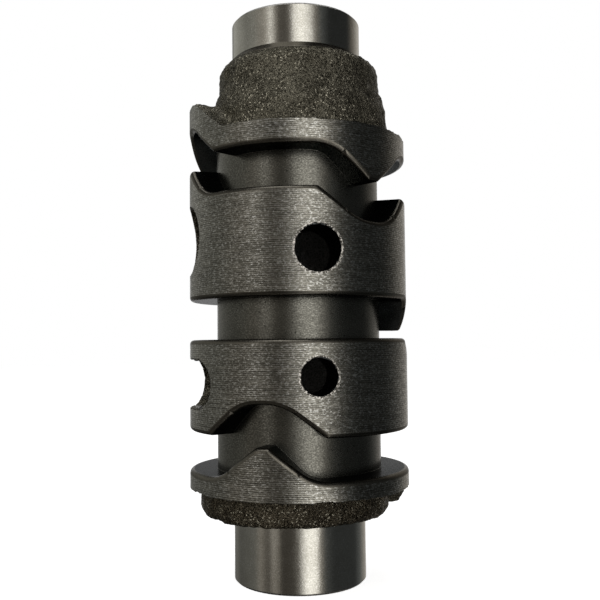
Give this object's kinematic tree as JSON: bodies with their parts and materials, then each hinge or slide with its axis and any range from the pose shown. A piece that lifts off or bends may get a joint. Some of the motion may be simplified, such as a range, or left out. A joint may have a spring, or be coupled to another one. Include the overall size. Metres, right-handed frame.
{
  "type": "gear shift drum",
  "caption": "Hollow cast gear shift drum with ground end journals and three milled cam tracks that guide the shift forks' pins.",
  "frame": {"origin": "centre of the lower end face, on the drum's axis", "axes": "+Z along the drum's axis to the threaded end; -Y is the front of the picture and +X its right"},
  "size_m": [0.04, 0.04, 0.1025],
  "materials": {
    "cast_iron": "turned and milled outside, ground journals, as cast on the boss and the ring"
  },
  "bodies": {
    "root": {"shift_drum": "cast_iron"}
  },
  "joints": []
}
